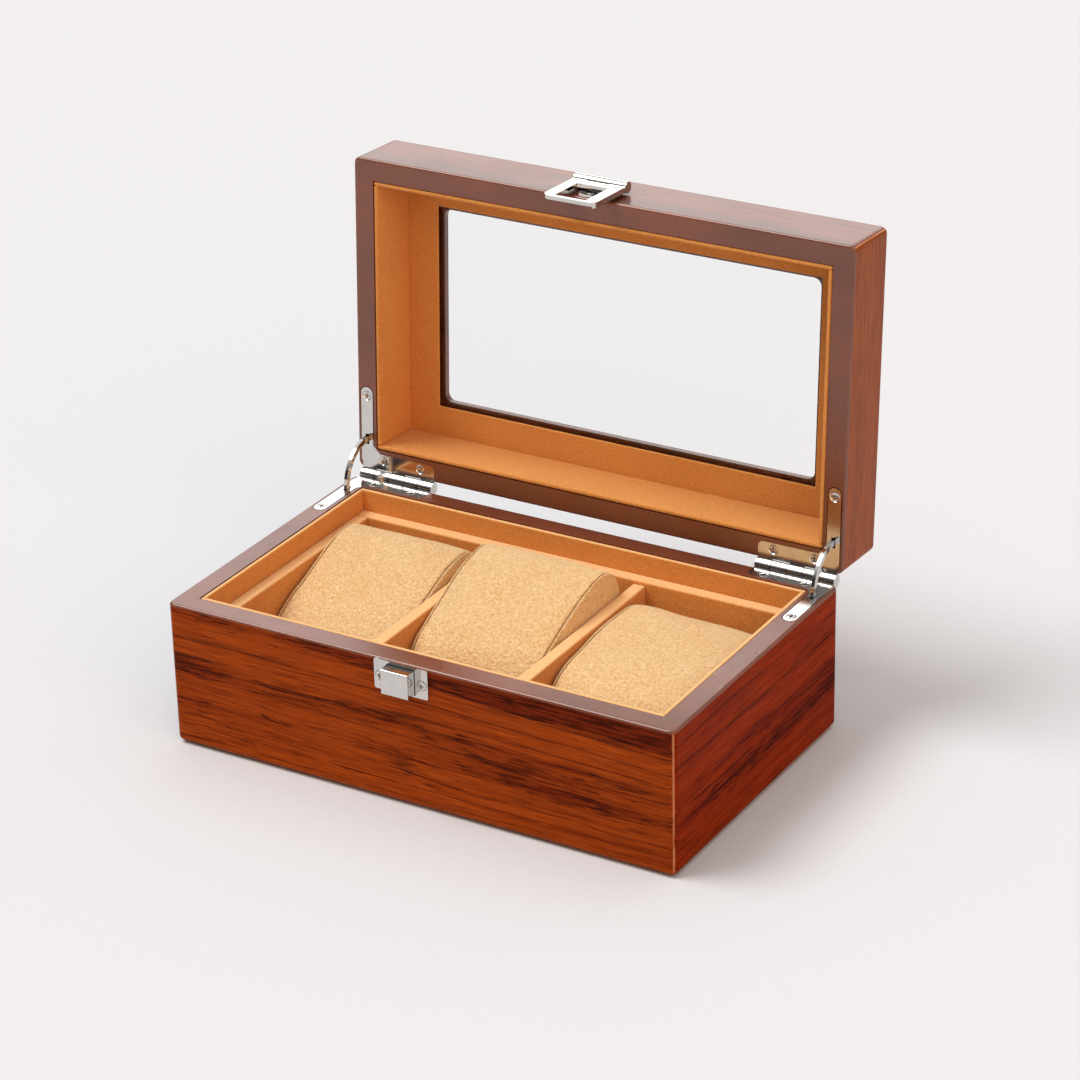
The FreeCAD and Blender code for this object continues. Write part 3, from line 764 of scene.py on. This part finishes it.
def oval_outline(long, thick, tilt):
    """Points (y, z) round a squarish oval, tilted about its middle."""
    power = 2 / SQUARENESS
    points = []
    for step in range(ROUND):
        turn = 2 * math.pi * step / ROUND
        c, s = math.cos(turn), math.sin(turn)
        u = long * math.copysign(abs(c) ** power, c)
        v = thick * math.copysign(abs(s) ** power, s)
        y = u * math.cos(tilt) - v * math.sin(tilt)
        z = u * math.sin(tilt) + v * math.cos(tilt)
        points.append((y, z))
    return points


def oval_axes(low, high, tilt):
    """Half length and half thickness of the tilted oval that fills this box."""
    half_y = (high[1] - low[1]) / 2
    half_z = (high[2] - low[2]) / 2
    long, thick = half_y, half_z
    for _ in range(40):
        points = oval_outline(long, thick, tilt)
        long *= half_y / max(point[0] for point in points)
        thick *= half_z / max(point[1] for point in points)
    return long, thick


def cushion_rings(half):
    """(distance across, scale of the outline, inward shrink) of each ring, end to end."""
    wrap = []
    edge = half * 0.95
    near_edge = [edge - 0.9 * MM, edge - 0.45 * MM, edge]
    places = [-place for place in reversed(near_edge)]
    places += [(edge - 2.6 * MM) * (step / 11 - 1) for step in range(23)]
    places += near_edge
    for across in places:
        crown = 1 - 0.022 * abs(across / edge) ** 3
        wrap.append((across, crown, 0.0))
    shoulder = []
    for step in range(1, 6):
        angle = math.radians(18 * step)
        reach = edge + 0.04 * half * math.sin(angle)
        shoulder.append((reach, 0.978, 1.1 * MM * (1 - math.cos(angle))))
    seam_at = 0.992 * half
    shoulder.append((seam_at, 0.978, 1.5 * MM))
    panel = [(seam_at, 0.978, 1.9 * MM), (seam_at + 0.1 * MM, 0.978, 2.5 * MM)]
    for shrink in (0.88, 0.72, 0.54, 0.36, 0.16):
        bulge = 0.3 * MM * (1 - shrink**2)
        panel.append((seam_at + 0.15 * MM + bulge, shrink, 2.5 * MM))
    right_end = shoulder + panel
    left_end = [(-across, scale, shrink) for across, scale, shrink in reversed(right_end)]
    return left_end + wrap + right_end, len(panel), len(shoulder)


def cushion_form(name, low, high, tilt, roll):
    """Closed mesh of a cushion before it is stuffed."""
    long, thick = oval_axes(low, high, tilt)
    middle = (Vector(low) + Vector(high)) / 2
    half = (high[0] - low[0]) / 2
    rings, panels, shoulders = cushion_rings(half - SIDE_PLAY)
    form = bmesh.new()
    rows = []
    for across, scale, shrink in rings:
        row = []
        # The form starts a little small, because the stuffing swells it.
        ring_long = long * scale * SWELL_ROOM - shrink * scale
        ring_thick = thick * scale * SWELL_ROOM - shrink * scale
        outline = oval_outline(ring_long, ring_thick, tilt)
        for y, z in outline:
            z += math.tan(roll) * across
            row.append(form.verts.new((middle.x + across, middle.y + y, middle.z + z)))
        rows.append(row)
    for first, second in zip(rows, rows[1:]):
        for step in range(ROUND):
            following = (step + 1) % ROUND
            form.faces.new((first[step], second[step], second[following], first[following]))
    form.faces.new(rows[0])
    form.faces.new(reversed(rows[-1]))
    bmesh.ops.recalc_face_normals(form, faces=form.faces)
    mesh = bpy.data.meshes.new(name)
    form.to_mesh(mesh)
    form.free()
    return mesh, rings, panels, shoulders


def stuffed(mesh, name):
    """How far each part of the cover moves when it is stuffed, as starts and moves."""
    soft = bpy.data.objects.new(name + "_stuffing", mesh.copy())
    bpy.context.scene.collection.objects.link(soft)
    remesh = soft.modifiers.new("weave", "REMESH")
    remesh.mode = "VOXEL"
    remesh.voxel_size = WEAVE
    even = bpy.data.meshes.new_from_object(
        soft.evaluated_get(bpy.context.evaluated_depsgraph_get())
    )
    soft.modifiers.clear()
    soft.data = even
    starts = [vert.co.copy() for vert in even.vertices]
    cloth = soft.modifiers.new("stuffing", "CLOTH")
    cloth.settings.quality = 5
    cloth.settings.mass = 0.25
    cloth.settings.tension_stiffness = 25
    cloth.settings.compression_stiffness = 25
    cloth.settings.bending_stiffness = 0.8
    cloth.settings.use_pressure = True
    cloth.settings.uniform_pressure_force = 4.0
    cloth.settings.effector_weights.gravity = 0.0
    cloth.point_cache.frame_start = 1
    cloth.point_cache.frame_end = 20
    scene = bpy.context.scene
    for frame_number in range(1, 21):
        scene.frame_set(frame_number)
    ready = soft.evaluated_get(bpy.context.evaluated_depsgraph_get())
    moves = [vert.co - start for vert, start in zip(ready.data.vertices, starts)]
    scene.frame_set(1)
    bpy.data.objects.remove(soft)
    return starts, moves


def make_cushion(side, tilt, roll, seed):
    """One cushion: its form, the stuffing's swell, and the sewn seam near each end."""
    cover = f"cushion_{side}_cover"
    low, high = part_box(cover)
    mesh, rings, panels, shoulders = cushion_form(
        "cushion_" + side, low, high, math.radians(tilt), math.radians(roll)
    )
    spots = [vert.co.copy() for vert in mesh.vertices]
    normals = [vert.normal.copy() for vert in mesh.vertices]
    starts, moves = stuffed(mesh, "cushion_" + side)
    tree = kdtree.KDTree(len(starts))
    for index, start in enumerate(starts):
        tree.insert(start, index)
    tree.balance()
    for index, spot in enumerate(spots):
        total = Vector()
        weight = 0.0
        for _, near, distance in tree.find_n(spot, 8):
            share = 1 / (distance + 1 * MM)
            total += moves[near] * share
            weight += share
        move = total / weight
        if move.length > SIM_CAP:
            move *= SIM_CAP / move.length
        mesh.vertices[index].co = spot + move
    last = len(rings) - 1
    # The 'seam' value marks the seam's ring, which the velvet darkens there as painted shade.
    seam = mesh.attributes.new("seam", "FLOAT", "POINT")
    for index, vert in enumerate(mesh.vertices):
        ring = index // ROUND
        from_end = min(ring, last - ring)
        seam.data[index].value = float(from_end == panels + shoulders)
        lump = noise.noise(spots[index] * LUMPS_PER_METRE + Vector((seed, 0, 0)))
        vert.co += normals[index] * lump * LUMP
        if from_end == panels + shoulders:
            vert.co -= normals[index] * SEAM_IN
        pucker = max(0.0, 1 - abs(from_end - panels - shoulders) / PUCKER_RINGS)
        if from_end > panels + shoulders:
            ripple = noise.noise(Vector((index % ROUND * 0.55, seed, ring > last / 2)))
            vert.co += normals[index] * ripple * pucker * PUCKER
        # It stays within its place in the tray and rests on the lining of the floor.
        vert.co.x = min(max(vert.co.x, low[0] - 0.1 * MM), high[0] + 0.1 * MM)
        vert.co.z = max(vert.co.z, floor_high + 0.05 * MM)
    cushion = bpy.data.objects.new("cushion_" + side, mesh)
    bpy.context.scene.collection.objects.link(cushion)
    finer = cushion.modifiers.new("finer", "SUBSURF")
    finer.levels = 1
    finer.render_levels = 1
    for face in mesh.polygons:
        face.use_smooth = True
    mesh.materials.append(cushion_cloth)
    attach(cushion, "cushion_" + side)
    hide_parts(cover, f"cushion_{side}_core")


make_cushion("left", 21.5, 0.0, 3.0)
make_cushion("centre", 22.5, 0.0, 11.0)
make_cushion("right", 4.0, -1.5, 29.0)

# ---- Floor, light and camera ----------------------------------------------------------------
# A plain pale floor under the box. A broad light stands overhead, a bright screen behind and
# a soft warm fill to the right, and the sky is bright above and behind and dark elsewhere.

scene = bpy.context.scene
scene.view_settings.view_transform = "Standard"

FLOOR_HALF = 6.0
FLOOR_LEVEL = -0.05 * MM
mesh = bpy.data.meshes.new("studio_floor")
corners = [(-1, -1), (1, -1), (1, 1), (-1, 1)]
spots = [(x * FLOOR_HALF, y * FLOOR_HALF, FLOOR_LEVEL) for x, y in corners]
mesh.from_pydata(spots, [], [(0, 1, 2, 3)])
floor = bpy.data.objects.new("studio_floor", mesh)
scene.collection.objects.link(floor)
material, tree = new_material("pale_floor")
place = add(tree, "ShaderNodeTexCoord").outputs["Object"]
paper = noise_of(tree, place, 300.0, 2.0)
pale = ramp(tree, paper, [(0.0, (0.675, 0.68, 0.70)), (1.0, (0.695, 0.70, 0.72))])
shader = add(tree, "ShaderNodeBsdfPrincipled", [("Base Color", pale), ("Roughness", 0.9)])
shader.inputs["Specular IOR Level"].default_value = 0.0
finish_material(tree, shader)
mesh.materials.append(material)

world = bpy.data.worlds.new("studio")
scene.world = world
world.use_nodes = True
sky = world.node_tree
look = add(sky, "ShaderNodeTexCoord").outputs["Generated"]
parts = add(sky, "ShaderNodeSeparateXYZ", [("Vector", look)]).outputs
from_top = maths(sky, "MULTIPLY", fade(sky, parts["Z"], 0.35, 0.90), 0.90)
from_back = maths(sky, "MULTIPLY", fade(sky, parts["Y"], 0.10, 0.70), 0.35)
glow = maths(sky, "ADD", maths(sky, "ADD", from_top, from_back), 0.04)
sky.nodes["Background"].inputs["Color"].default_value = (1.0, 1.0, 1.0, 1.0)
sky.links.new(glow, sky.nodes["Background"].inputs["Strength"])


def aim_lamp(data, spot, aim):
    """Hangs a lamp at a spot, turned to the place that it lights."""
    lamp = bpy.data.objects.new(data.name, data)
    scene.collection.objects.link(lamp)
    lamp.location = spot
    lamp.rotation_euler = (Vector(aim) - Vector(spot)).to_track_quat("-Z", "Y").to_euler()
    lamp.visible_camera = False
    return lamp


def soft_sun(name, spot, strength, spread, colour=(1.0, 1.0, 1.0)):
    """Light from one side of the whole room; a wider spread softens its shadows."""
    data = bpy.data.lights.new(name, "SUN")
    data.energy = strength
    data.angle = math.radians(spread)
    data.color = colour
    return aim_lamp(data, spot, (0.0, 0.0, 0.0))


def soft_screen(name, spot, aim, wide, high, power):
    """A flat white screen that glows."""
    data = bpy.data.lights.new(name, "AREA")
    data.shape = "RECTANGLE"
    data.size = wide
    data.size_y = high
    data.energy = power
    return aim_lamp(data, spot, aim)


soft_sun("overhead", (-0.52, -0.26, 1.0), 1.9, 30.0)
soft_sun("warm_fill", (1.0, -0.60, 0.30), 1.5, 60.0, (1.0, 0.60, 0.34))
screen = soft_screen("back_screen", (-1.0, 1.66, 1.0), (0.0, 0.0, 0.10), 2.4, 1.1, 13.0)
screen.visible_diffuse = False

AZIMUTH = math.radians(30.94)
ELEVATION = math.radians(25.65)
ROLL = math.radians(-1.42)
DISTANCE = 1.231
LENS = 119.93
AIM = Vector((15.6 * MM, 0.0, 79.4 * MM))
back = Vector(
    (
        math.sin(AZIMUTH) * math.cos(ELEVATION),
        -math.cos(AZIMUTH) * math.cos(ELEVATION),
        math.sin(ELEVATION),
    )
)
right = Vector((math.cos(AZIMUTH), math.sin(AZIMUTH), 0.0))
up = back.cross(right)
rolled_right = math.cos(ROLL) * right + math.sin(ROLL) * up
rolled_up = -math.sin(ROLL) * right + math.cos(ROLL) * up
facing = Matrix((rolled_right, rolled_up, back)).transposed().to_4x4()
data = bpy.data.cameras.new("camera")
data.lens = LENS
data.sensor_width = 36.0
data.clip_end = 30.0
camera = bpy.data.objects.new("camera", data)
camera.matrix_world = Matrix.Translation(AIM + back * DISTANCE) @ facing
scene.collection.objects.link(camera)
scene.camera = camera
